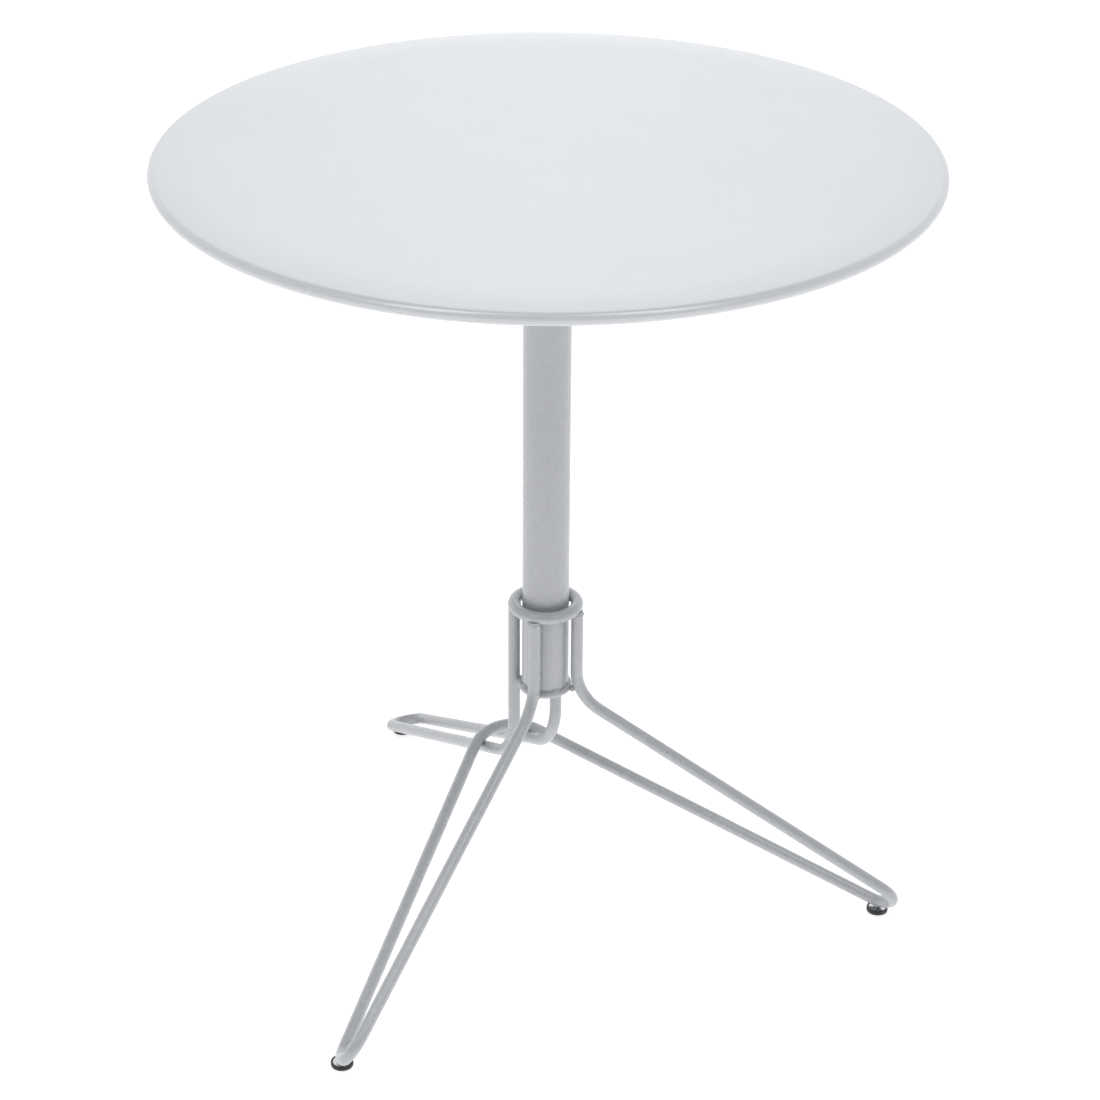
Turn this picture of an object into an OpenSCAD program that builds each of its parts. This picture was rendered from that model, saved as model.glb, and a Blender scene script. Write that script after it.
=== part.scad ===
// Bistro table on a bent-rod base: tilting round top, tube column, three loop legs with levelling feet.
// Origin on the floor under the column, +Z up, rear leg along +Y, tilt axis along X.

/* [Overall] */
// Height of the table surface above the floor
table_h = 748.5; // [738:0.5:765]
// Diameter over the rolled rim
top_d = 670; // [650:1:700]

/* [Top] */
// Sheet thickness
sheet_t = 1.5; // [1.2:0.1:1.8]
// Radius of the flat middle
flat_r = 290; // [280:1:300]
// Radius of the arc that eases the sheet down to the rim
fall_r = 520; // [480:10:640]
// Outside radius of the rolled rim
rim_r = 5.5; // [5:0.1:6.5]
// Diameter of the stiffener plate
stiffener_d = 260; // [200:5:300]
// Thickness of the stiffener plate
stiffener_t = 2.5; // [2:0.1:2.8]

/* [Tilt head] */
// Height from tilt axis to table surface
pivot_drop = 37; // [37:0.5:40]
// Length of the bracket base along the tilt axis
base_x = 120; // [116:1:140]
// Width of the bracket base
base_y = 100; // [92:1:104]
// Thickness of bracket base and cheeks
plate_t = 3; // [2.6:0.1:3]
// Distance from the middle to the inside of a cheek
cheek_in = 9; // [9:0.1:9.3]
// Half width of the tongue of the column head
tongue_w = 8; // [7.4:0.1:8]
// Diameter of the pivot bolt
bolt_d = 8; // [7:0.5:8]
// Length of the clamp lever arm
lever_len = 60; // [46:1:66]
// Angle that the lever arm leans away from the column
lever_lean = 9; // [8:0.5:14]

/* [Column] */
// Outside diameter of the column tube
tube_d = 42.4; // [40:0.1:42.6]
// Wall of the column tube
tube_wall = 2; // [1.5:0.1:2.5]

/* [Legs] */
// Diameter of the leg rod
rod_d = 11; // [10.6:0.1:11.2]
// Half the spacing of the four uprights
cage = 21.4; // [21:0.1:21.6]
// Height of the upper ring
ring_z = 318.5; // [300:0.5:340]
// Centreline radius of the upper ring
ring_r = 28.5; // [28:0.1:29]
// Height of the lower ring
base_z = 234.5; // [232:0.5:238]
// Rod diameter of the lower ring
base_d = 6.5; // [6:0.1:6.8]
// Height of the corner where a front leg leaves its upright
knee_z = 228; // [225:0.5:231]
// Bend radius of that corner
knee_r = 48; // [44:1:58]
// Distance of the arch corner behind the column axis
arch_y = 116; // [113:0.5:118]
// Height of the arch corner
arch_z = 147.5; // [147:0.1:150]
// Bend radius of the arch
arch_r = 46; // [42:0.5:49]
// Height of the corner where the rear leg leaves its uprights
heel_z = 153.5; // [150:0.1:153.6]
// Bend radius of that corner
heel_r = 60; // [52:1:62]
// Distance of the front return bend centres from the column axis
front_r = 310.8; // [300:0.2:320]
// Bend radius of the front return bends
front_turn_r = 20.3; // [19.7:0.1:20.6]
// Height of the front return bend centres
front_z = 27.9; // [27.8:0.1:28.6]
// Distance of the rear return bend centre from the column axis
rear_r = 321; // [310:1:330]
// Bend radius of the rear return bend
rear_turn_r = 16.8; // [16.4:0.1:17.4]
// Height of the rear return bend centre
rear_z = 18.2; // [18:0.1:18.8]

/* [Feet] */
// Diameter of the foot pad
pad_d = 20; // [19:0.5:24]
// Height of the foot pad
pad_h = 4.4; // [4:0.1:4.5]
// Diameter of the foot stem
stem_d = 6; // [5:0.1:6]

/* [Hidden] */
rod_r = rod_d / 2;
top_r = top_d / 2;
rim_c = top_r - rim_r;
rim_in = rim_r - sheet_t;
fall = rim_c - flat_r;
fall_h = fall_r - sqrt(fall_r * fall_r - fall * fall);
rim_z = table_h - fall_h - rim_r;
under_z = table_h - sheet_t;
stiff_z = under_z - stiffener_t;
base_top = stiff_z;
base_bot = base_top - plate_t;
pivot_z = table_h - pivot_drop;
cheek_out = cheek_in + plate_t;
cheek_r = 12;
stud_x = 48;
stud_y = 35;
stud_r = 3;
washer_t = 1.2;
nut_h = 4.8;
pin_y = 22;
pin_z = pivot_z + 18;
pin_r = 3;
bush_r = 6;
bush_rim = 9;
bush_t = 1;
bolt_r = bolt_d / 2;
bolt_bore = bolt_r + 0.05;
head_x = -cheek_out - bush_t - 0.3;
hub_x = cheek_out + bush_t + 0.3;
hub_w = 16;
lever_x = hub_x + 10;
tube_r = tube_d / 2;
tube_in = tube_r - tube_wall;
seat_z = pivot_z - cheek_r - 0.4;
tube_top = seat_z - 4;
tube_bot = base_z + base_d / 2 - 0.5;
plug_r = tube_in - 0.1;
screw_z = tube_top - 21;
base_r = cage * sqrt(2) - rod_r - base_d / 2;
up_z = ring_z - 3;
lap = 0.3;
skin = 0.02;
stem_r = stem_d / 2;
stem_bore = stem_r + 0.06;
stem_top = 13;
hole_top = 13.4;
pad_floor = 2;
disc_r = pad_d / 2 - 1.7;
disc_t = 1.8;
// Heading of the front return bend centres and of the front feet
front_aim = 211.75;
foot_aim = 210;
// Distance of the feet from the column axis, under the lowest point of each return bend
foot_front = front_r + 6;
foot_rear = rear_r + 15;

function unit(v) = v / norm(v);

// Bend of centreline radius r at corner b between a and c.
// Returns centre, start point, end point, heading at the start, radius and sweep.
function corner_bend(a, b, c, r) =
    let (u = unit(a - b), w = unit(c - b), open = acos(u * w), set = r / tan(open / 2))
    [b + unit(u + w) * r / sin(open / 2), b + u * set, b + w * set, -u, r, 180 - open];

// Point where a line from p touches the circle about c in the plane with normal n
function tangent_point(p, c, r, n, side) =
    let (d = p - c, l = norm(d), e = d / l, g = cross(n, e), open = acos(r / l))
    c + r * (cos(open) * e + side * sin(open) * g);

// Return bend about centre c between the outside points a and b
function return_bend(a, b, c, r) =
    let (n = unit(cross(a - c, b - c)),
         s = tangent_point(a, c, r, n, -1),
         e = tangent_point(b, c, r, n, 1),
         h = unit(s - a),
         turn = atan2((e - c) * h, (e - c) * unit(s - c)))
    [c, s, e, h, r, turn < 0 ? turn + 360 : turn];

function flip(p) = [-p.x, p.y, p.z];

// To the nearest thousandth
function near(v) = round(v * 1000) / 1000;

// Twist about the rod between two bends, so that the next bend lies in its own plane
function twist(p, q) =
    let (e = unit(p[0] - p[2]), s = unit(q[0] - q[1]))
    atan2(cross(e, s) * q[3], e * s);

// Step of a bent rod: straight length, twist, bend radius and sweep
function step(p, q) = [near(norm(q[1] - p[2])), near(twist(p, q)), q[4], near(q[5])];

// Front wire, from the middle of the arch to the top of the left upright
front_c = [front_r * cos(front_aim), front_r * sin(front_aim), front_z];
front_top = [-cage, -cage, up_z];
front_knee = [-cage, -cage, knee_z];
front_arch = [0, arch_y, arch_z];
front_turn = return_bend(front_arch, front_knee, front_c, front_turn_r);
arch_bend = corner_bend(flip(front_turn[1]), front_arch, front_turn[1], arch_r);
front_bend = corner_bend(front_turn[2], front_knee, front_top, knee_r);
arch_in = unit(arch_bend[0] - front_arch);
arch_mid = arch_bend[0] - arch_r * arch_in;
front_steps = [[0, 0, arch_r, near(arch_bend[5] / 2)],
    step(arch_bend, front_turn),
    step(front_turn, front_bend),
    [near(norm(front_top - front_bend[2])), 0, 0, 0]];

// Rear wire, from the tip of the return bend to the top of the left upright
rear_c = [0, rear_r, rear_z];
rear_top = [-cage, cage, up_z];
rear_heel = [-cage, cage, heel_z];
rear_turn = return_bend(flip(rear_heel), rear_heel, rear_c, rear_turn_r);
rear_bend = corner_bend(rear_turn[2], rear_heel, rear_top, heel_r);
rear_in = unit([0, cage, heel_z] - rear_c);
rear_mid = rear_c - rear_turn_r * rear_in;
rear_steps = [[0, 0, rear_turn_r, near(rear_turn[5] / 2)],
    step(rear_turn, rear_bend),
    [near(norm(rear_top - rear_bend[2])), 0, 0, 0]];

// Where the arch of the front wire lies on the rear wire
weld_x = 22.9;
weld_y = 86.8;
weld_z = 129.3;

module at_foot(a, r) {
    rotate([0, 0, a])
        translate([r, 0, 0])
            children();
}

// Blind hole up into the lower rod for a foot stem
module stem_hole() {
    translate([0, 0, 2])
        cylinder(h = hole_top - 2, r = stem_bore);
}

// Bend that starts at the origin along +Z and turns towards +X
module bend(r, from, turn) {
    translate([r, 0, 0])
        rotate([90, 0, 180])
            rotate([0, 0, from])
                rotate_extrude(angle = turn)
                    translate([r, 0])
                        circle(r = rod_r);
}

// Frame at the end of that bend
module after_bend(r, turn) {
    translate([r, 0, 0])
        rotate([0, turn, 0])
            translate([-r, 0, 0])
                children();
}

// Rest of a bent rod: straight lengths run a little way into the bends they join
module bent_rod(steps, k) {
    l = steps[k][0];
    last = k == len(steps) - 1;
    translate([0, 0, -lap])
        cylinder(h = l + (last ? lap : 2 * lap), r = rod_r - skin);
    if (!last)
        translate([0, 0, l])
            rotate([0, 0, steps[k][1]]) {
                bend(steps[k][2], 0, steps[k][3]);
                after_bend(steps[k][2], steps[k][3])
                    bent_rod(steps, k + 1);
            }
}

// Wire that is the same on both sides of the plane x = 0, from its middle bend outwards
module wire_frame(mid, q) {
    multmatrix([[0, 0, -1, 0], [q.y, q.z, 0, mid.y], [q.z, -q.y, 0, mid.z], [0, 0, 0, 1]])
        children();
}

module half_wire(mid, q, steps) {
    wire_frame(mid, q)
        after_bend(steps[0][2], steps[0][3])
            bent_rod(steps, 1);
}

module wire(mid, q, steps) {
    wire_frame(mid, q)
        bend(steps[0][2], -steps[0][3], 2 * steps[0][3]);
    half_wire(mid, q, steps);
    mirror([1, 0, 0])
        half_wire(mid, q, steps);
}

module table_top() {
    color([0.90, 0.91, 0.92]) {
        steps = 5;
        rotate_extrude()
            polygon(concat(
                [[0, under_z], [0, table_h], [flat_r, table_h]],
                [for (i = [1:steps]) let (x = fall * i / steps)
                    [flat_r + x, table_h - fall_r + sqrt(fall_r * fall_r - x * x)]],
                [for (i = [steps:-1:0]) let (x = fall * i / steps)
                    [flat_r + x, table_h - fall_r + sqrt(fall_r * fall_r - x * x) - sheet_t]]));
        difference() {
            translate([0, 0, rim_z])
                rotate_extrude()
                    translate([rim_c, 0])
                        circle(r = rim_r);
            translate([0, 0, rim_z])
                rotate_extrude()
                    translate([rim_c, 0])
                        circle(r = rim_in);
            translate([0, 0, rim_z - 1.5])
                cylinder(h = rim_r + 1.5 - sheet_t, r = rim_c);
            translate([0, 0, rim_z - 1.5])
                cylinder(h = 2 * rim_r, r = rim_c - 1);
        }
    }
}

module top_stiffener() {
    color([0.72, 0.73, 0.75])
        translate([0, 0, stiff_z])
            cylinder(h = stiffener_t, r = stiffener_d / 2);
}

module four_studs() {
    for (x = [-stud_x, stud_x])
        for (y = [-stud_y, stud_y])
            translate([x, y, 0])
                children();
}

module weld_studs() {
    color([0.78, 0.78, 0.80])
        four_studs()
            translate([0, 0, base_bot - 11])
                cylinder(h = 11 + plate_t, r = stud_r);
}

module cheek() {
    difference() {
        union() {
            rotate([90, 0, 90])
                linear_extrude(height = plate_t)
                    polygon([[-cheek_r, base_bot], [-cheek_r, pivot_z], [cheek_r * cos(-39), pivot_z + cheek_r * sin(-39)],
                        [40, base_bot]]);
            translate([0, 0, pivot_z])
                rotate([0, 90, 0])
                    cylinder(h = plate_t, r = cheek_r);
        }
        translate([-1, 0, pivot_z])
            rotate([0, 90, 0])
                cylinder(h = plate_t + 2, r = bush_r);
        translate([-1, pin_y, pin_z])
            rotate([0, 90, 0])
                cylinder(h = plate_t + 2, r = pin_r);
    }
}

module tilt_bracket() {
    color([0.66, 0.67, 0.69]) {
        difference() {
            translate([-base_x / 2, -base_y / 2, base_bot])
                cube([base_x, base_y, plate_t]);
            four_studs()
                translate([0, 0, base_bot - 1])
                    cylinder(h = plate_t + 2, r = stud_r + 0.3);
        }
        translate([cheek_in, 0, 0])
            cheek();
        translate([-cheek_out, 0, 0])
            cheek();
    }
}

module bracket_washers() {
    color([0.80, 0.80, 0.82])
        four_studs()
            translate([0, 0, base_bot - washer_t])
                difference() {
                    cylinder(h = washer_t, r = 6);
                    translate([0, 0, -1])
                        cylinder(h = washer_t + 2, r = stud_r + 0.2);
                }
}

module bracket_nuts() {
    color([0.80, 0.80, 0.82])
        four_studs()
            translate([0, 0, base_bot - washer_t - nut_h])
                difference() {
                    cylinder(h = nut_h, r = 10 / sqrt(3), $fn = 6);
                    translate([0, 0, -1])
                        cylinder(h = nut_h + 2, r = stud_r + 0.04);
                }
}

module stop_pin() {
    color([0.80, 0.80, 0.82])
        translate([-cheek_out - 1, pin_y, pin_z])
            rotate([0, 90, 0])
                cylinder(h = 2 * cheek_out + 2, r = pin_r);
}

module pivot_bush() {
    difference() {
        union() {
            translate([cheek_in, 0, pivot_z])
                rotate([0, 90, 0])
                    cylinder(h = plate_t, r = bush_r);
            translate([cheek_out, 0, pivot_z])
                rotate([0, 90, 0])
                    cylinder(h = bush_t, r = bush_rim);
        }
        translate([cheek_in - 1, 0, pivot_z])
            rotate([0, 90, 0])
                cylinder(h = plate_t + bush_t + 2, r = bolt_bore);
    }
}

module pivot_bushes() {
    color([0.20, 0.20, 0.21]) {
        pivot_bush();
        mirror([1, 0, 0])
            pivot_bush();
    }
}

module column_head() {
    color([0.70, 0.71, 0.73])
        difference() {
            union() {
                translate([0, 0, tube_top - 40])
                    cylinder(h = 40, r = plug_r);
                translate([0, 0, tube_top])
                    cylinder(h = 4, r = tube_r);
                translate([-tongue_w, 0, 0])
                    rotate([90, 0, 90])
                        linear_extrude(height = 2 * tongue_w)
                            polygon([[-cheek_r, seat_z - 1], [19, seat_z - 1], [28, pivot_z - 1],
                                [28, pin_z - pin_r - 0.3], [16, pin_z - pin_r - 0.3],
                                [cheek_r, pivot_z + 4], [cheek_r, pivot_z], [-cheek_r, pivot_z]]);
                translate([-tongue_w, 0, pivot_z])
                    rotate([0, 90, 0])
                        cylinder(h = 2 * tongue_w, r = cheek_r);
            }
            translate([-tongue_w - 1, 0, pivot_z])
                rotate([0, 90, 0])
                    cylinder(h = 2 * tongue_w + 2, r = bolt_bore);
            translate([0, 0, tube_top - 41])
                cylinder(h = 33, r = 9);
            translate([-plug_r - 1, 0, screw_z])
                rotate([0, 90, 0])
                    cylinder(h = 2 * plug_r + 2, r = 3.04);
        }
}

module head_screw() {
    difference() {
        translate([11, 0, screw_z])
            rotate([0, 90, 0])
                cylinder(h = tube_r - 10.6, r = 3);
        translate([tube_r - 2.6, 0, screw_z])
            rotate([0, 90, 0])
                cylinder(h = 4, r = 1.8, $fn = 6);
    }
}

module head_screws() {
    color([0.30, 0.30, 0.32]) {
        head_screw();
        mirror([1, 0, 0])
            head_screw();
    }
}

module pivot_bolt() {
    color([0.78, 0.78, 0.80])
        difference() {
            union() {
                translate([head_x, 0, pivot_z])
                    rotate([0, 90, 0])
                        cylinder(h = hub_x + hub_w + 4 - head_x, r = bolt_r);
                translate([head_x - 3.5, 0, pivot_z])
                    rotate([0, 90, 0])
                        cylinder(h = 3.5, r = 8);
                translate([head_x - 5, 0, pivot_z])
                    rotate([0, 90, 0])
                        cylinder(h = 1.5, r1 = 5.5, r2 = 8);
            }
            translate([head_x - 6, 0, pivot_z])
                rotate([0, 90, 0])
                    cylinder(h = 4, r = 2.9, $fn = 6);
        }
}

module pivot_washer() {
    translate([tongue_w, 0, pivot_z])
        rotate([0, 90, 0])
            difference() {
                cylinder(h = cheek_in - tongue_w - 0.3, r = 10);
                translate([0, 0, -1])
                    cylinder(h = 4, r = bolt_bore);
            }
}

module pivot_washers() {
    color([0.80, 0.74, 0.52]) {
        pivot_washer();
        mirror([1, 0, 0])
            pivot_washer();
    }
}

module lever_cap_nut() {
    color([0.78, 0.78, 0.80])
        translate([hub_x + hub_w + 0.3, 0, pivot_z])
            rotate([0, 90, 0])
                difference() {
                    union() {
                        cylinder(h = 5, r = 13 / sqrt(3), $fn = 6);
                        translate([0, 0, 5])
                            cylinder(h = 2.5, r1 = 6, r2 = 3.6);
                    }
                    translate([0, 0, -1])
                        cylinder(h = 5, r = bolt_r + 0.04);
                }
}

module lever_frame() {
    translate([lever_x, 0, pivot_z])
        rotate([0, 180 - lever_lean, 0])
            children();
}

module clamp_lever() {
    color([0.74, 0.75, 0.77])
        difference() {
            union() {
                translate([hub_x, 0, pivot_z])
                    rotate([0, 90, 0])
                        cylinder(h = hub_w, r = 9);
                lever_frame()
                    translate([0, 0, 5])
                        cylinder(h = lever_len - 5, r = 3.5);
            }
            translate([hub_x - 1, 0, pivot_z])
                rotate([0, 90, 0])
                    cylinder(h = hub_w + 2, r = bolt_bore);
        }
}

module lever_grip() {
    color([0.12, 0.12, 0.13])
        lever_frame()
            difference() {
                union() {
                    translate([0, 0, lever_len - 26])
                        cylinder(h = 24, r1 = 5.2, r2 = 7.6);
                    translate([0, 0, lever_len - 2])
                        cylinder(h = 4, r1 = 7.6, r2 = 5);
                }
                translate([0, 0, lever_len - 28])
                    cylinder(h = 28.04, r = 3.54);
            }
}

module column_tube() {
    color([0.86, 0.87, 0.88])
        difference() {
            translate([0, 0, tube_bot])
                cylinder(h = tube_top - tube_bot, r = tube_r);
            translate([0, 0, tube_bot - 1])
                cylinder(h = tube_top - tube_bot + 2, r = tube_in);
            translate([-tube_r - 1, 0, screw_z])
                rotate([0, 90, 0])
                    cylinder(h = tube_d + 2, r = 3.06);
        }
}

module upper_ring() {
    color([0.87, 0.88, 0.89])
        translate([0, 0, ring_z])
            rotate_extrude()
                translate([ring_r, 0])
                    circle(r = rod_r);
}

module lower_ring() {
    color([0.85, 0.86, 0.87])
        translate([0, 0, base_z])
            rotate_extrude()
                translate([base_r, 0])
                    circle(r = base_d / 2);
}

module front_leg_wire() {
    color([0.84, 0.85, 0.86])
        difference() {
            wire(arch_mid, arch_in, front_steps);
            at_foot(foot_aim, foot_front)
                stem_hole();
            mirror([1, 0, 0])
                at_foot(foot_aim, foot_front)
                    stem_hole();
        }
}

module rear_leg_wire() {
    color([0.84, 0.85, 0.86])
        difference() {
            wire(rear_mid, rear_in, rear_steps);
            at_foot(90, foot_rear)
                stem_hole();
        }
}

module cage_welds() {
    color([0.83, 0.84, 0.85])
        for (a = [45:90:315])
            rotate([0, 0, a]) {
                translate([cage * sqrt(2), 0, ring_z - rod_r])
                    rotate_extrude()
                        translate([rod_r - 0.4, 0])
                            circle(r = 1.5);
                translate([base_r + base_d / 2 + (a > 180 ? 2 : 0), 0, base_z])
                    sphere(r = 3.4);
            }
}

module column_welds() {
    color([0.83, 0.84, 0.85])
        for (a = [0:90:270])
            rotate([0, 0, a]) {
                translate([(tube_r + ring_r - rod_r) / 2, 0, ring_z - 1.5])
                    sphere(r = 2);
                translate([tube_r, 0, tube_bot + 0.6])
                    sphere(r = 1.8);
            }
}

module crossing_welds() {
    color([0.83, 0.84, 0.85])
        for (x = [-weld_x, weld_x])
            translate([x, weld_y, weld_z])
                sphere(r = 4.2);
}

module foot_stem() {
    translate([0, 0, pad_floor])
        cylinder(h = disc_t, r = disc_r);
    translate([0, 0, pad_floor])
        cylinder(h = stem_top - pad_floor - 0.6, r = stem_r);
    translate([0, 0, stem_top - 0.6])
        cylinder(h = 0.6, r1 = stem_r, r2 = stem_r - 0.6);
}

module foot_pad() {
    difference() {
        union() {
            cylinder(h = 1, r1 = pad_d / 2 - 0.8, r2 = pad_d / 2);
            translate([0, 0, 1])
                cylinder(h = pad_h - 1.5, r = pad_d / 2);
            translate([0, 0, pad_h - 0.5])
                cylinder(h = 0.5, r1 = pad_d / 2, r2 = pad_d / 2 - 0.5);
        }
        translate([0, 0, pad_floor])
            cylinder(h = pad_h, r = disc_r);
    }
}

module foot_stem_left() {
    color([0.82, 0.82, 0.84])
        at_foot(foot_aim, foot_front)
            foot_stem();
}

module foot_stem_right() {
    color([0.82, 0.82, 0.84])
        mirror([1, 0, 0])
            at_foot(foot_aim, foot_front)
                foot_stem();
}

module foot_stem_rear() {
    color([0.82, 0.82, 0.84])
        at_foot(90, foot_rear)
            foot_stem();
}

module foot_pad_left() {
    color([0.06, 0.06, 0.065])
        at_foot(foot_aim, foot_front)
            foot_pad();
}

module foot_pad_right() {
    color([0.06, 0.06, 0.065])
        mirror([1, 0, 0])
            at_foot(foot_aim, foot_front)
                foot_pad();
}

module foot_pad_rear() {
    color([0.06, 0.06, 0.065])
        at_foot(90, foot_rear)
            foot_pad();
}

table_top();
top_stiffener();
weld_studs();
tilt_bracket();
bracket_washers();
bracket_nuts();
stop_pin();
pivot_bushes();
column_head();
head_screws();
pivot_bolt();
pivot_washers();
lever_cap_nut();
clamp_lever();
lever_grip();
column_tube();
upper_ring();
lower_ring();
front_leg_wire();
rear_leg_wire();
cage_welds();
column_welds();
crossing_welds();
foot_stem_left();
foot_stem_right();
foot_stem_rear();
foot_pad_left();
foot_pad_right();
foot_pad_rear();
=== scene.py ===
import math
import random

import bpy
import numpy as np
from mathutils import Matrix, Vector


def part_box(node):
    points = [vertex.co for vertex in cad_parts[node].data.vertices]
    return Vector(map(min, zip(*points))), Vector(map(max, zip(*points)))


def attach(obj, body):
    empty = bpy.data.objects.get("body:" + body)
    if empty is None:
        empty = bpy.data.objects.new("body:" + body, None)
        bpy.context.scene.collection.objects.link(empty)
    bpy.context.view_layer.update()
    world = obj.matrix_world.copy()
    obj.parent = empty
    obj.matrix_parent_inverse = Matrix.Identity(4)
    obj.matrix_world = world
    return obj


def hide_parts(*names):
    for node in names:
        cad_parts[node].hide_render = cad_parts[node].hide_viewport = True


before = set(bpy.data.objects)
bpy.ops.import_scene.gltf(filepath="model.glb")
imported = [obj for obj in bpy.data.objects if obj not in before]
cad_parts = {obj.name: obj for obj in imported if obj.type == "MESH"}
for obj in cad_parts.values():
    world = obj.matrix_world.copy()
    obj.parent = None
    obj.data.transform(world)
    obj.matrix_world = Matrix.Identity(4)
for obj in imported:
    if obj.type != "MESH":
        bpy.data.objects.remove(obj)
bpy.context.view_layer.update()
MM = 0.001


# ---------------------------------------------------------------- node helpers
class Nodes:
    """A short way to write a node tree."""

    def __init__(self, tree):
        self.tree = tree
        tree.nodes.clear()

    def link(self, out, socket):
        self.tree.links.new(out, socket)

    def add(self, kind, **values):
        """New node. _name sets a property, i0, i1 and so on set inputs by number, others by name."""
        node = self.tree.nodes.new(kind)
        for key, value in values.items():
            if key.startswith("_"):
                setattr(node, key[1:], value)
            else:
                self.put(node, key, value)
        return node

    def put(self, node, key, value):
        by_number = key[0] == "i" and key[1:].isdigit()
        socket = node.inputs[int(key[1:])] if by_number else node.inputs[key.replace("_", " ")]
        if isinstance(value, bpy.types.NodeSocket):
            self.link(value, socket)
        else:
            socket.default_value = value

    def math(self, op, a, b=0.0):
        return self.add("ShaderNodeMath", _operation=op, i0=a, i1=b).outputs[0]

    def dot(self, a, b):
        node = self.add("ShaderNodeVectorMath", _operation="DOT_PRODUCT", i0=a, i1=b)
        return node.outputs["Value"]

    def spread(self, value, low, high, to_low=0.0, to_high=1.0):
        """Maps low..high to to_low..to_high and clamps it."""
        node = self.add("ShaderNodeMapRange", _clamp=True,
                        i0=value, i1=low, i2=high, i3=to_low, i4=to_high)
        return node.outputs[0]

    def noise(self, place, scale, detail=2.0, rough=0.5, distort=0.0):
        node = self.add("ShaderNodeTexNoise", Vector=place, Scale=scale, Detail=detail,
                        Roughness=rough, Distortion=distort)
        return node.outputs["Fac"]

    def mix(self, factor, a, b):
        node = self.add("ShaderNodeMix", _data_type="RGBA", _blend_type="MIX")
        for key, value in (("i0", factor), ("i6", a), ("i7", b)):
            self.put(node, key, value)
        return node.outputs[2]


def rgb(r, g, b):
    """Colour from display values of 0 to 1."""
    def lin(v):
        return v / 12.92 if v <= 0.04045 else ((v + 0.055) / 1.055) ** 2.4
    return (lin(r), lin(g), lin(b), 1.0)


def shade(color, k):
    return tuple(min(1.0, c * k) for c in color[:3]) + (1.0,)


# Noise scales of the surfaces, in features per metre.
CLOUD_SCALE = 9.0
SPECKLE_SCALE = 2600.0
LINE_SCALE = 900.0
SMUDGE_SCALE = 26.0
BLOT_SCALE = 160.0
ROUGH_SCALE = 45.0
PATCH_SCALE = 420.0
FLOOR_DIRT = rgb(0.42, 0.40, 0.37)
FLOOR_DIRT_HIGH = 0.03


def material(name, color, rough, metallic=0.0, spec=0.5, bump=(), vary=0.04, rough_vary=0.05,
             speckle=0.0, wear=None, wear_amount=0.0, stretch=None, dirt=0.0, floor_dirt=0.0):
    """Procedural surface: cloudy and speckled colour, varied roughness, bump and edge wear.

    bump is a list of (feature size in m, height in m). stretch squeezes the grain along an
    axis, as on brushed or rolled metal. wear is the colour of worn edges."""
    m = bpy.data.materials.new(name)
    m.use_nodes = True
    n = Nodes(m.node_tree)
    out = n.add("ShaderNodeOutputMaterial")
    bsdf = n.add("ShaderNodeBsdfPrincipled", Metallic=metallic, Specular_IOR_Level=spec)
    n.link(bsdf.outputs[0], out.inputs[0])
    place = n.add("ShaderNodeTexCoord").outputs["Object"]
    grain = place
    if stretch:
        grain = n.add("ShaderNodeMapping", Vector=place, Scale=stretch).outputs[0]
    cloud = n.noise(place, CLOUD_SCALE, 4.0, 0.55)
    color_out = n.mix(n.spread(cloud, 0.3, 0.7), shade(color, 1 - vary), shade(color, 1 + vary))
    if speckle:
        dots = n.noise(place, SPECKLE_SCALE, 1.0)
        color_out = n.mix(n.spread(dots, 0.62, 0.74, 0.0, speckle), color_out, shade(color, 0.55))
    if stretch:
        lines = n.noise(grain, LINE_SCALE, 3.0, 0.7)
        color_out = n.mix(n.spread(lines, 0.35, 0.65, 0.0, 0.35), color_out, shade(color, 0.78))
    if dirt:
        smudge = n.noise(place, SMUDGE_SCALE, 5.0, 0.62, 0.6)
        color_out = n.mix(n.spread(smudge, 0.5, 0.78, 0.0, dirt), color_out, shade(color, 0.72))
    if floor_dirt:
        height = n.add("ShaderNodeSeparateXYZ", Vector=place).outputs[2]
        blot = n.noise(place, BLOT_SCALE, 3.0, 0.6)
        low = n.math("MULTIPLY", n.spread(height, 0.0, FLOOR_DIRT_HIGH, 1.0, 0.0),
                     n.spread(blot, 0.35, 0.7))
        color_out = n.mix(n.math("MULTIPLY", low, floor_dirt), color_out, FLOOR_DIRT)
    rough_cloud = n.noise(place, ROUGH_SCALE, 3.0, 0.6)
    rough_out = n.spread(rough_cloud, 0.25, 0.75, max(0.02, rough - rough_vary), rough + rough_vary)
    if wear is not None:
        edge = n.add("ShaderNodeNewGeometry").outputs["Pointiness"]
        patch = n.noise(place, PATCH_SCALE, 4.0, 0.65)
        worn = n.math("MULTIPLY", n.spread(edge, 0.53, 0.62), n.spread(patch, 0.42, 0.62))
        worn = n.math("MULTIPLY", worn, wear_amount)
        color_out = n.mix(worn, color_out, wear)
        rough_out = n.math("SUBTRACT", rough_out, n.math("MULTIPLY", worn, 0.12))
    n.link(color_out, bsdf.inputs["Base Color"])
    n.link(rough_out, bsdf.inputs["Roughness"])
    normal = None
    for size, height in bump:
        value = n.noise(grain, 1.0 / size, 2.0, 0.5)
        node = n.add("ShaderNodeBump", Strength=1.0, Distance=height, Height=value)
        if normal is not None:
            n.put(node, "Normal", normal)
        normal = node.outputs[0]
    if normal is not None:
        n.link(normal, bsdf.inputs["Normal"])
    return m


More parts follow.
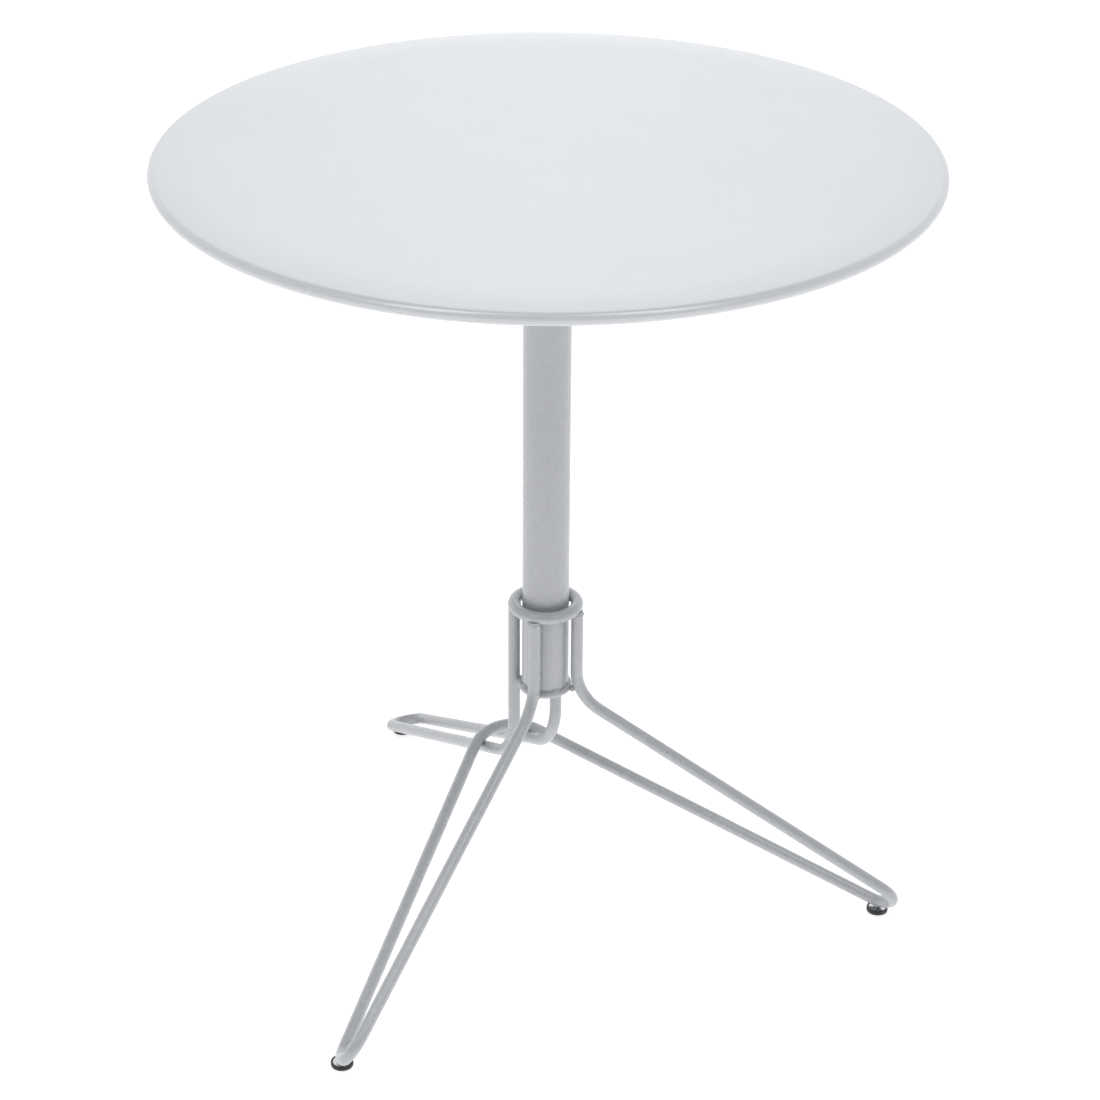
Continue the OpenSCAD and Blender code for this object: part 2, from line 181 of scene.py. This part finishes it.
COAT = rgb(0.818, 0.826, 0.842)
# The frame's coat is the same powder coat as the top's, set darker: painted shade for the column, rings
# and legs, which stand in the top's shadow.
FRAME_COAT_SHADED = rgb(0.722, 0.729, 0.742)
MAT = {
    "top": material(
        "coat_top", COAT, 0.26, spec=1.0, bump=((0.0016, 0.000006), (0.010, 0.00001)),
        vary=0.010, rough_vary=0.02, dirt=0.015),
    # frame: the top's coat set darker, painted shade
    "frame": material(
        "coat_frame_shaded", FRAME_COAT_SHADED, 0.27, spec=0.8, bump=((0.0011, 0.000008), (0.006, 0.000012)),
        vary=0.018, rough_vary=0.03, dirt=0.025, floor_dirt=0.35),
    "head": material(
        "coat_head", rgb(0.60, 0.61, 0.625), 0.38, bump=((0.0011, 0.000014), (0.006, 0.00002)),
        vary=0.03, speckle=0.12, wear=rgb(0.78, 0.78, 0.79), wear_amount=0.6, dirt=0.08),
    "cast": material(
        "cast_head", rgb(0.72, 0.725, 0.735), 0.46, metallic=0.85,
        bump=((0.0007, 0.00003), (0.004, 0.00004)),
        vary=0.05, wear=rgb(0.88, 0.88, 0.88), wear_amount=0.6, dirt=0.1),
    "zinc": material(
        "zinc_steel", rgb(0.78, 0.785, 0.80), 0.26, metallic=1.0, bump=((0.0006, 0.000008),),
        vary=0.05, rough_vary=0.07, dirt=0.10, wear=rgb(0.92, 0.92, 0.92), wear_amount=0.5),
    "black": material(
        "black_oxide", rgb(0.13, 0.13, 0.135), 0.42, metallic=0.7, bump=((0.0006, 0.00001),),
        vary=0.1, wear=rgb(0.5, 0.5, 0.5), wear_amount=0.6),
    "brass": material(
        "brass_washer", rgb(0.80, 0.68, 0.40), 0.30, metallic=1.0, bump=((0.0008, 0.000008),),
        vary=0.07, stretch=(1.0, 8.0, 1.0)),
    # welds: the frame's darker coat, painted shade
    "weld": material(
        "coat_weld_shaded", FRAME_COAT_SHADED, 0.36, spec=0.5, bump=((0.0009, 0.00004), (0.003, 0.00006)),
        vary=0.05, rough_vary=0.08, speckle=0.12, dirt=0.12),
    "bush": material(
        "bush_plastic", rgb(0.16, 0.16, 0.17), 0.5, bump=((0.0005, 0.00001),), vary=0.06),
    "grip": material(
        "grip_plastic", rgb(0.09, 0.09, 0.095), 0.55, bump=((0.0005, 0.00004),),
        vary=0.08, wear=rgb(0.3, 0.3, 0.3), wear_amount=0.35),
    "pad": material(
        "pad_plastic", rgb(0.07, 0.07, 0.075), 0.48, bump=((0.0006, 0.00003),),
        vary=0.1, wear=rgb(0.34, 0.34, 0.33), wear_amount=0.4, floor_dirt=0.25),
}


# ---------------------------------------------------------------- mesh helpers
def dress(obj, mat, sharp):
    """One material, smooth faces and edges sharp above the angle in degrees."""
    obj.data.materials.clear()
    obj.data.materials.append(MAT[mat])
    for poly in obj.data.polygons:
        poly.use_smooth = True
    obj.data.set_sharp_from_angle(angle=math.radians(sharp))


def finish_piece(obj, mat, body, stands_for, sharp=40.0):
    dress(obj, mat, sharp)
    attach(obj, body)
    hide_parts(*stands_for)


def mesh_object(name, verts, faces):
    mesh = bpy.data.meshes.new(name)
    mesh.from_pydata([tuple(v) for v in verts], [], faces)
    mesh.validate()
    obj = bpy.data.objects.new(name, mesh)
    bpy.context.scene.collection.objects.link(obj)
    return obj


def join_meshes(name, parts):
    """One object from parts, which are (vertices in mm, faces) pairs."""
    verts, faces = [], []
    for v, f in parts:
        base = len(verts)
        verts.extend(Vector(p) * MM for p in v)
        faces.extend(tuple(i + base for i in face) for face in f)
    return mesh_object(name, verts, faces)


def lathe(profile, segments=64, closed=False):
    """Profile of (radius, height) pairs turned about Z. Points at radius 0 become one vertex."""
    verts, faces, rows = [], [], []
    for r, z in profile:
        if r < 1e-9:
            rows.append([len(verts)])
            verts.append((0.0, 0.0, z))
        else:
            rows.append(list(range(len(verts), len(verts) + segments)))
            for k in range(segments):
                a = 2 * math.pi * k / segments
                verts.append((r * math.cos(a), r * math.sin(a), z))
    pairs = list(zip(rows, rows[1:]))
    if closed:
        pairs.append((rows[-1], rows[0]))
    for low, high in pairs:
        for k in range(segments):
            j = (k + 1) % segments
            if len(low) == 1 and len(high) == 1:
                continue
            if len(low) == 1:
                faces.append((low[0], high[k], high[j]))
            elif len(high) == 1:
                faces.append((low[j], low[k], high[0]))
            else:
                faces.append((low[k], high[k], high[j], low[j]))
    return verts, faces


def moved(part, place):
    verts, faces = part
    return [Vector(p) + place for p in verts], faces


def sweep(points, radius, sides, closed=False):
    """Round bar along points in mm, with a frame carried along without twist.

    radius is a number, or a function of the point's number and the angle round the bar."""
    pts = [Vector(p) for p in points]
    count = len(pts)
    heads = []
    for k in range(count):
        a = pts[(k - 1) % count] if closed or k else pts[0]
        b = pts[(k + 1) % count] if closed or k < count - 1 else pts[-1]
        heads.append((b - a).normalized())
    side = heads[0].orthogonal().normalized()
    sides_out = [side]
    for k in range(1, count):
        turn = heads[k - 1].rotation_difference(heads[k])
        side = (turn @ side)
        side = (side - heads[k] * side.dot(heads[k])).normalized()
        sides_out.append(side)
    twist = 0.0
    if closed:
        turn = heads[-1].rotation_difference(heads[0])
        end = turn @ sides_out[-1]
        twist = math.atan2(end.cross(sides_out[0]).dot(heads[0]), end.dot(sides_out[0]))
    verts, faces = [], []
    for k in range(count):
        s = sides_out[k]
        if closed:
            s = Matrix.Rotation(twist * k / count, 3, heads[k]) @ s
        t = heads[k].cross(s)
        for j in range(sides):
            a = 2 * math.pi * j / sides
            r = radius(k, a) if callable(radius) else radius
            verts.append(pts[k] + (s * math.cos(a) + t * math.sin(a)) * r)
    for k in range(count if closed else count - 1):
        n = (k + 1) % count
        for j in range(sides):
            i = (j + 1) % sides
            faces.append((k * sides + j, k * sides + i, n * sides + i, n * sides + j))
    if not closed:
        faces.append(tuple(reversed(range(sides))))
        faces.append(tuple(range((count - 1) * sides, count * sides)))
    return verts, faces


def drill(obj, places, radius, low, high, turn=None):
    """Cuts a round hole from low to high at each place. turn lays the hole over."""
    cutters = []
    for place in places:
        v, f = lathe([(0, low), (radius, low), (radius, high), (0, high)], 24)
        if turn is not None:
            v = [turn @ Vector(q) for q in v]
        cutters.append(moved((v, f), place))
    cutter = join_meshes("cutter", cutters)
    mod = obj.modifiers.new("drill", "BOOLEAN")
    mod.operation, mod.solver, mod.object = "DIFFERENCE", "EXACT", cutter
    depsgraph = bpy.context.evaluated_depsgraph_get()
    cut = bpy.data.meshes.new_from_object(obj.evaluated_get(depsgraph))
    obj.modifiers.clear()
    obj.data = cut
    bpy.data.objects.remove(cutter)
    return obj


# ---------------------------------------------------------------- sizes, in mm, as in the CAD
top_low, top_high = (v * 1000 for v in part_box("table_top"))
TABLE_H = top_high.z

RIM_R = 5.5                 # outer radius of the rolled rim's section
SHEET = 1.5
RIM_C = 335.0 - RIM_R
FLAT_R = 290.0              # the top is flat out to here
FALL_R = 520.0              # then it falls away on this radius, down to the rim

ROD = 5.5                   # radius of the leg wires
CAGE = 21.4                 # uprights stand this far out in X and in Y
RING_Z = 318.5
RING_R = 28.5
BASE_Z = 234.5              # the lower ring and its rod
BASE_ROD = 3.25
BASE_R = CAGE * math.sqrt(2) - ROD - BASE_ROD
UP_Z = RING_Z - 3.0

TUBE_R = 21.2
TUBE_IN = 19.2
TUBE_TOP = TABLE_H - 37.0 - 16.4
TUBE_BOT = BASE_Z + BASE_ROD - 0.5
SCREW_Z = TUBE_TOP - 21.0

HOLE_R = 3.06               # holes for foot stems and set screws
HOLE_LOW, HOLE_HIGH = 2.0, 13.4

FRONT_AIM = math.radians(211.75)
FRONT_R, FRONT_Z, FRONT_TURN_R = 310.8, 27.9, 20.3
KNEE_Z, KNEE_R = 228.0, 48.0
ARCH_Y, ARCH_Z, ARCH_R = 116.0, 147.5, 46.0
REAR_R, REAR_Z, REAR_TURN_R = 321.0, 18.2, 16.8
HEEL_Z, HEEL_R = 153.5, 60.0

FOOT_AIM = math.radians(210)
FOOT_FRONT, FOOT_REAR = 316.8, 336.0


# ---------------------------------------------------------------- paths of the bent wires
# A bend is (centre, start, end, unit heading at the start, radius, angle turned).
def unit(v):
    return v.normalized()


def flip(p):
    return Vector((-p.x, p.y, p.z))


def corner_bend(a, b, c, r):
    """Bend of radius r at corner b, between the straights from a and to c."""
    u, w = unit(a - b), unit(c - b)
    opening = math.acos(u.dot(w))
    step = r / math.tan(opening / 2)
    center = b + unit(u + w) * (r / math.sin(opening / 2))
    return center, b + u * step, b + w * step, -u, r, math.pi - opening


def tangent_point(p, c, r, n, side):
    d = p - c
    e = d.normalized()
    g = n.cross(e)
    opening = math.acos(r / d.length)
    return c + (e * math.cos(opening) + g * math.sin(opening) * side) * r


def return_bend(a, b, c, r):
    """Bend of radius r about c, between the straights from a and to b."""
    n = unit((a - c).cross(b - c))
    s, e = tangent_point(a, c, r, n, -1), tangent_point(b, c, r, n, 1)
    h = unit(s - a)
    turn = math.atan2((e - c).dot(h), (e - c).dot(unit(s - c)))
    return c, s, e, h, r, turn % (2 * math.pi)


def bend_points(bend, every=2.0):
    c, s, _, h, r, turn = bend
    count = max(6, int(r * turn / every))
    angles = [turn * k / count for k in range(count + 1)]
    return [c + (s - c) * math.cos(a) + h * (r * math.sin(a)) for a in angles]


def straight_points(a, b, every=12.0):
    count = max(1, int((b - a).length / every))
    return [a + (b - a) * (k / count) for k in range(1, count)]


def path_of(start, bends, end):
    pts = [start]
    at = start
    for bend in bends:
        pts += straight_points(at, bend[1])
        pts += bend_points(bend)
        at = bend[2]
    pts += straight_points(at, end)
    pts.append(end)
    return pts


def mirrored(half, middle):
    """Whole path from its left half, the bend in the middle and the left half flipped."""
    return half[:-1] + middle + [flip(p) for p in reversed(half[:-1])]


front_c = Vector((FRONT_R * math.cos(FRONT_AIM), FRONT_R * math.sin(FRONT_AIM), FRONT_Z))
front_top = Vector((-CAGE, -CAGE, UP_Z))
front_knee = Vector((-CAGE, -CAGE, KNEE_Z))
front_arch = Vector((0, ARCH_Y, ARCH_Z))
front_turn = return_bend(front_knee, front_arch, front_c, FRONT_TURN_R)
front_bend = corner_bend(front_top, front_knee, front_turn[1], KNEE_R)
arch_bend = corner_bend(front_turn[2], front_arch, flip(front_turn[2]), ARCH_R)
front_half = path_of(front_top, [front_bend, front_turn], arch_bend[1])
front_path = mirrored(front_half, bend_points(arch_bend))

rear_c = Vector((0, REAR_R, REAR_Z))
rear_top = Vector((-CAGE, CAGE, UP_Z))
rear_heel = Vector((-CAGE, CAGE, HEEL_Z))
rear_turn = return_bend(rear_heel, flip(rear_heel), rear_c, REAR_TURN_R)
rear_bend = corner_bend(rear_top, rear_heel, rear_turn[1], HEEL_R)
rear_half = path_of(rear_top, [rear_bend], rear_turn[1])
rear_path = mirrored(rear_half, bend_points(rear_turn))

foot_left = Vector((FOOT_FRONT * math.cos(FOOT_AIM), FOOT_FRONT * math.sin(FOOT_AIM), 0))
FEET = {"left": foot_left, "rear": Vector((0, FOOT_REAR, 0)), "right": flip(foot_left)}

# ---------------------------------------------------------------- the top
FLAT_RADII = (60, 120, 180, 230, 262, 280)
FALL_STEPS = 12
LIP_TURN = 0.13             # the sheet's cut edge bulges by this angle
TOP_SEGMENTS = 288
fall_end = math.asin((RIM_C - FLAT_R) / (FALL_R - RIM_R))
arc_z = TABLE_H - FALL_R
rim_z = arc_z + (FALL_R - RIM_R) * math.cos(fall_end)
curl_from, curl_to = math.pi / 2 - fall_end, -math.pi + 0.27


def fall_point(k, radius):
    a = fall_end * k / FALL_STEPS
    return FLAT_R + radius * math.sin(a), arc_z + radius * math.cos(a)


def rim_point(a, radius):
    return RIM_C + radius * math.cos(a), rim_z + radius * math.sin(a)


def lip_point(t):
    return rim_point(curl_to - LIP_TURN * math.sin(t), RIM_R - SHEET / 2 + SHEET / 2 * math.cos(t))


outer = [(0.0, TABLE_H)] + [(r, TABLE_H) for r in FLAT_RADII]
outer += [fall_point(k, FALL_R) for k in range(FALL_STEPS)]
outer += [rim_point(a, RIM_R) for a in np.linspace(curl_from, curl_to, 40)]
lip = [lip_point(t) for t in np.linspace(0, math.pi, 8)[1:-1]]
inner = [rim_point(a, RIM_R - SHEET) for a in np.linspace(curl_to, curl_from, 34)]
under = [fall_point(k, FALL_R - SHEET) for k in reversed(range(FALL_STEPS))]
under += [(r, TABLE_H - SHEET) for r in reversed(FLAT_RADII)] + [(0.0, TABLE_H - SHEET)]
profile = outer + lip + inner + under
top = join_meshes("top_shell", [lathe([(float(r), float(z)) for r, z in reversed(profile)], TOP_SEGMENTS)])
finish_piece(top, "top", "top", ("table_top",), sharp=50)

# ---------------------------------------------------------------- the bent wires and rings
WIRE_SIDES = 32
front_wire = join_meshes("front_wire", [sweep(front_path, ROD, WIRE_SIDES)])
drill(front_wire, [FEET["left"], FEET["right"]], HOLE_R, HOLE_LOW, HOLE_HIGH)
finish_piece(front_wire, "frame", "base", ("front_leg_wire",))
rear_wire = join_meshes("rear_wire", [sweep(rear_path, ROD, WIRE_SIDES)])
drill(rear_wire, [FEET["rear"]], HOLE_R, HOLE_LOW, HOLE_HIGH)
finish_piece(rear_wire, "frame", "base", ("rear_leg_wire",))


def ring_points(radius, z, count=96):
    angles = [2 * math.pi * k / count for k in range(count)]
    return [Vector((radius * math.cos(a), radius * math.sin(a), z)) for a in angles]


top_ring = join_meshes("top_ring", [sweep(ring_points(RING_R, RING_Z), ROD, 28, closed=True)])
finish_piece(top_ring, "frame", "base", ("upper_ring",))
foot_ring = join_meshes("foot_ring", [sweep(ring_points(BASE_R, BASE_Z), BASE_ROD, 24, closed=True)])
finish_piece(foot_ring, "frame", "base", ("lower_ring",))

# ---------------------------------------------------------------- column tube
TUBE_EDGE = 0.35
TUBE_STEPS = 24
wall = [(TUBE_R - TUBE_EDGE, TUBE_BOT), (TUBE_R, TUBE_BOT + TUBE_EDGE)]
wall += [(TUBE_R, TUBE_BOT + (TUBE_TOP - TUBE_BOT) * k / TUBE_STEPS) for k in range(1, TUBE_STEPS)]
wall += [(TUBE_R, TUBE_TOP - TUBE_EDGE), (TUBE_R - TUBE_EDGE, TUBE_TOP)]
wall += [(TUBE_IN + TUBE_EDGE, TUBE_TOP), (TUBE_IN, TUBE_TOP - TUBE_EDGE)]
wall += [(TUBE_IN, TUBE_BOT + TUBE_EDGE), (TUBE_IN + TUBE_EDGE, TUBE_BOT)]
tube = join_meshes("tube", [lathe(list(reversed(wall)), 128, closed=True)])
drill(tube, [Vector((0, 0, SCREW_Z))], HOLE_R, -30, 30, Matrix.Rotation(math.pi / 2, 3, "Y"))
finish_piece(tube, "frame", "base", ("column_tube",), sharp=30)

# ---------------------------------------------------------------- weld beads
rng = random.Random(11)
BEAD_SIDES = 18
BEAD_STEP = 0.35            # mm between sections
PUDDLE = 1.3                # mm from one puddle to the next


def bead(points, radius):
    """Weld bead along points: overlapping puddles, tapered at the ends."""
    pts = [Vector(p) for p in points]
    length = sum((b - a).length for a, b in zip(pts, pts[1:]))
    count = max(10, int(length / BEAD_STEP))
    out, seg, done = [], 0, 0.0
    for k in range(count + 1):
        want = length * k / count
        while seg < len(pts) - 2 and done + (pts[seg + 1] - pts[seg]).length < want:
            done += (pts[seg + 1] - pts[seg]).length
            seg += 1
        step = (pts[seg + 1] - pts[seg])
        out.append(pts[seg] + step * min(1.0, (want - done) / step.length))
    phase = rng.random() * 6
    sizes = []
    for k in range(count + 1):
        t = k / count
        into_end = max(0.0, abs(2 * t - 1) * length / 2 - (length / 2 - radius))
        cap = math.sqrt(max(0.0, 1 - into_end ** 2 / radius ** 2))
        puddle = 1 - 0.10 * abs(math.sin(math.pi * (t * length) / PUDDLE + phase))
        sizes.append(radius * max(0.12, cap) * puddle * (1 + 0.04 * (rng.random() - 0.5)))
    return sweep(out, lambda k, a: sizes[k], BEAD_SIDES)


def arc_bead(radius, bead_r, middle, half, z, count=40):
    """Bead on a circle round the column, from middle - half to middle + half."""
    start, end = middle - half, middle + half
    angles = [start + (end - start) * k / count for k in range(count + 1)]
    return bead([Vector((radius * math.cos(a), radius * math.sin(a), z)) for a in angles], bead_r)


def collar_bead(center, t):
    """Closed bead round an upright, where it goes into the upper ring."""
    reach = ROD - 0.2
    points = [center + Vector((reach * math.cos(u), reach * math.sin(u),
                               RING_Z - ROD + 0.3 * math.sin(5 * u + t)))
              for u in np.linspace(0, 2 * math.pi, 60, endpoint=False)]
    return sweep(points, lambda k, a: 0.85 + 0.10 * abs(math.sin(k * math.pi / 5 + t)), 14, closed=True)


cage_parts = []
for degrees in (45, 135, 225, 315):
    t = math.radians(degrees)
    cage_parts.append(collar_bead(Vector((math.cos(t), math.sin(t), 0)) * CAGE * math.sqrt(2), t))
    front_shift = 2.0 if degrees > 180 else 0.0
    reach = BASE_R + BASE_ROD + front_shift
    cage_parts.append(arc_bead(reach, 2.9, t, 0.16, BASE_Z + 0.3))
cage_beads = join_meshes("cage_beads", cage_parts)
finish_piece(cage_beads, "weld", "base", ("cage_welds",))

column_parts = []
for degrees in (0, 90, 180, 270):
    t = math.radians(degrees)
    column_parts.append(arc_bead((TUBE_R + RING_R - ROD) / 2, 1.8, t, 0.13, RING_Z - 1.5))
    column_parts.append(arc_bead(TUBE_R, 1.55, t, 0.16, TUBE_BOT + 0.6))
column_beads = join_meshes("column_beads", column_parts)
finish_piece(column_beads, "weld", "base", ("column_welds",))

CROSS_X, CROSS_Y, CROSS_Z = 22.9, 86.8, 129.3
CROSS_HALF, CROSS_BEAD_R = 3.4, 3.3
cross_parts = []
for side in (-1, 1):
    mid = Vector((side * CROSS_X, CROSS_Y, CROSS_Z))
    along = Vector((side * 0.45, 0.62, -0.40)).normalized()
    cross_parts.append(bead([mid - along * CROSS_HALF, mid, mid + along * CROSS_HALF], CROSS_BEAD_R))
cross_beads = join_meshes("cross_beads", cross_parts)
finish_piece(cross_beads, "weld", "base", ("crossing_welds",))


# ---------------------------------------------------------------- levelling feet
def thread(r, low, high, pitch=1.0, depth=0.42):
    """Profile of a thread, as rings from low to high."""
    out = []
    z = low
    while z + pitch <= high:
        out += [(r - depth, z), (r, z + 0.40 * pitch), (r, z + 0.60 * pitch)]
        z += pitch
    return out + [(r - depth, z)]


STEM = [(0, 2.0), (8.3, 2.0), (8.3, 3.55), (8.05, 3.8), (4.6, 3.8), (4.3, 4.0), (3.3, 4.1), (2.7, 4.3)]
STEM += thread(2.98, 4.6, 12.0) + [(2.8, 12.4), (2.3, 12.95), (0, 12.95)]
CUP = [(0, 0.25), (6.2, 0.25), (6.8, 0.0), (9.1, 0.0), (9.5, 0.12), (9.85, 0.5), (10.0, 1.1)]
CUP += [(10.0, 3.3), (9.9, 3.9), (9.6, 4.3), (9.25, 4.4), (8.75, 4.35), (8.45, 4.1), (8.32, 3.7)]
CUP += [(8.32, 2.0), (0, 2.0)]
for side, place in FEET.items():
    body = "foot_" + side
    stem = join_meshes("stem_" + side, [moved(lathe(STEM, 40), place)])
    finish_piece(stem, "zinc", body, ("foot_stem_" + side,), sharp=28)
    pad = join_meshes("pad_" + side, [moved(lathe(CUP, 64), place)])
    finish_piece(pad, "pad", body, ("foot_pad_" + side,), sharp=45)

# ---------------------------------------------------------------- the carried-over nodes
LOOK = {
    "top_stiffener": "head", "weld_studs": "zinc", "tilt_bracket": "head",
    "bracket_washers": "zinc", "bracket_nuts": "zinc", "stop_pin": "zinc",
    "pivot_bushes": "bush", "column_head": "cast", "head_screws": "black",
    "pivot_bolt": "zinc", "pivot_washers": "brass", "lever_cap_nut": "zinc",
    "clamp_lever": "cast", "lever_grip": "grip",
}
# Widths of the softened edges, in mm.
EDGE = {
    "tilt_bracket": 0.5, "column_head": 0.6, "clamp_lever": 0.6, "top_stiffener": 0.5,
    "lever_grip": 0.6, "lever_cap_nut": 0.3, "bracket_nuts": 0.3, "bracket_washers": 0.15,
    "weld_studs": 0.4, "stop_pin": 0.3, "pivot_bolt": 0.25, "head_screws": 0.2,
}
for node, look in LOOK.items():
    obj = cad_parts[node]
    if node in EDGE:
        soft = obj.modifiers.new("soft_edge", "BEVEL")
        soft.width = EDGE[node] * MM
        soft.segments = 3
        soft.limit_method = "ANGLE"
        soft.angle_limit = math.radians(35)
        soft.harden_normals = True
    dress(obj, look, 30)

# ---------------------------------------------------------------- floor
FLOOR = 9.0                 # half its width, in m
floor_mesh = mesh_object(
    "floor", [(-FLOOR, -FLOOR, 0), (FLOOR, -FLOOR, 0), (FLOOR, FLOOR, 0), (-FLOOR, FLOOR, 0)],
    [(0, 1, 2, 3)])
floor_mat = bpy.data.materials.new("floor")
floor_mat.use_nodes = True
fn = Nodes(floor_mat.node_tree)
floor_out = fn.add("ShaderNodeOutputMaterial")
floor_bsdf = fn.add("ShaderNodeBsdfPrincipled", Roughness=0.9, Specular_IOR_Level=0.1)
floor_place = fn.add("ShaderNodeTexCoord").outputs["Object"]
floor_tone = fn.mix(fn.noise(floor_place, 3.0, 3.0), (0.90, 0.90, 0.90, 1.0), (0.93, 0.93, 0.93, 1.0))
fn.link(floor_tone, floor_bsdf.inputs["Base Color"])
fn.put(floor_bsdf, "Emission Color", (1.0, 1.0, 1.0, 1.0))
fn.put(floor_bsdf, "Emission Strength", 0.55)
fn.link(floor_bsdf.outputs[0], floor_out.inputs[0])
floor_mesh.data.materials.append(floor_mat)

# ---------------------------------------------------------------- camera
# It stands behind the front of a frame turned by TURN about the column. Distances in m.
TURN = math.radians(-26.213)
CAM_BACK, CAM_UP = 2.39770, 1.63859
PITCH, YAW, ROLL = math.radians(27.827), math.radians(0.086), math.radians(-0.386)
SENSOR = 36.0
LENS_PER_WIDTH = 3021.09 / 1100.0
ahead = Vector((math.sin(YAW) * math.cos(PITCH), math.cos(YAW) * math.cos(PITCH), -math.sin(PITCH)))
level = Vector((math.cos(YAW), -math.sin(YAW), 0.0))
below = ahead.cross(level)
right = level * math.cos(ROLL) + below * math.sin(ROLL)
down = below * math.cos(ROLL) - level * math.sin(ROLL)
cam_data = bpy.data.cameras.new("camera")
cam_data.sensor_width = SENSOR
cam_data.lens = SENSOR * LENS_PER_WIDTH
cam_data.clip_end = 60.0
camera = bpy.data.objects.new("camera", cam_data)
bpy.context.scene.collection.objects.link(camera)
spin = Matrix.Rotation(TURN, 4, "Z")
basis = Matrix((right, -down, -ahead)).transposed().to_4x4()
basis.translation = Vector((0.0, -CAM_BACK, CAM_UP))
camera.matrix_world = spin @ basis
bpy.context.scene.camera = camera
bpy.context.scene.view_settings.view_transform = "Standard"


# ---------------------------------------------------------------- light
def softbox(name, place, aim, width, height, power):
    """Area light, placed and aimed in the camera's turned frame."""
    data = bpy.data.lights.new(name, "AREA")
    data.shape = "RECTANGLE"
    data.size, data.size_y = width, height
    data.energy = power
    obj = bpy.data.objects.new(name, data)
    bpy.context.scene.collection.objects.link(obj)
    obj.location = spin @ Vector(place)
    direction = (spin @ Vector(aim)) - obj.location
    obj.rotation_euler = direction.to_track_quat("-Z", "Y").to_euler()


softbox("strip_left", (-1.75, -1.9, 4.5), (-0.1, 0, 0.7), 1.1, 3.8, 64)
softbox("strip_right", (1.75, -1.9, 4.5), (0.1, 0, 0.7), 1.1, 3.8, 60)

# The studio round the table: bright behind it, dim behind the camera and overhead,
# and a little brighter in the middle.
world = bpy.data.worlds.new("studio")
bpy.context.scene.world = world
world.use_nodes = True
wn = Nodes(world.node_tree)
sky = wn.add("ShaderNodeBackground")
world_out = wn.add("ShaderNodeOutputWorld")
wn.link(sky.outputs[0], world_out.inputs[0])
look_dir = wn.add("ShaderNodeTexCoord").outputs["Generated"]
facing = wn.dot(look_dir, tuple(spin @ Vector((0.0, -1.0, 0.0))))
across = wn.dot(look_dir, tuple(spin @ Vector((1.0, 0.0, 0.0))))
up = wn.add("ShaderNodeSeparateXYZ", Vector=look_dir).outputs[2]
side_light = wn.spread(facing, -0.9, 0.7, 1.85, 0.21)
sweep_low = wn.spread(up, 0.5, 0.95, 1.0, 0.24)
middle = wn.spread(wn.math("ABSOLUTE", across), 0.02, 0.22, 1.0, 0.70)
strength = wn.math("MULTIPLY", wn.math("MULTIPLY", side_light, sweep_low), middle)
wn.link(strength, sky.inputs["Strength"])
sky.inputs["Color"].default_value = (0.97, 0.985, 1.0, 1.0)
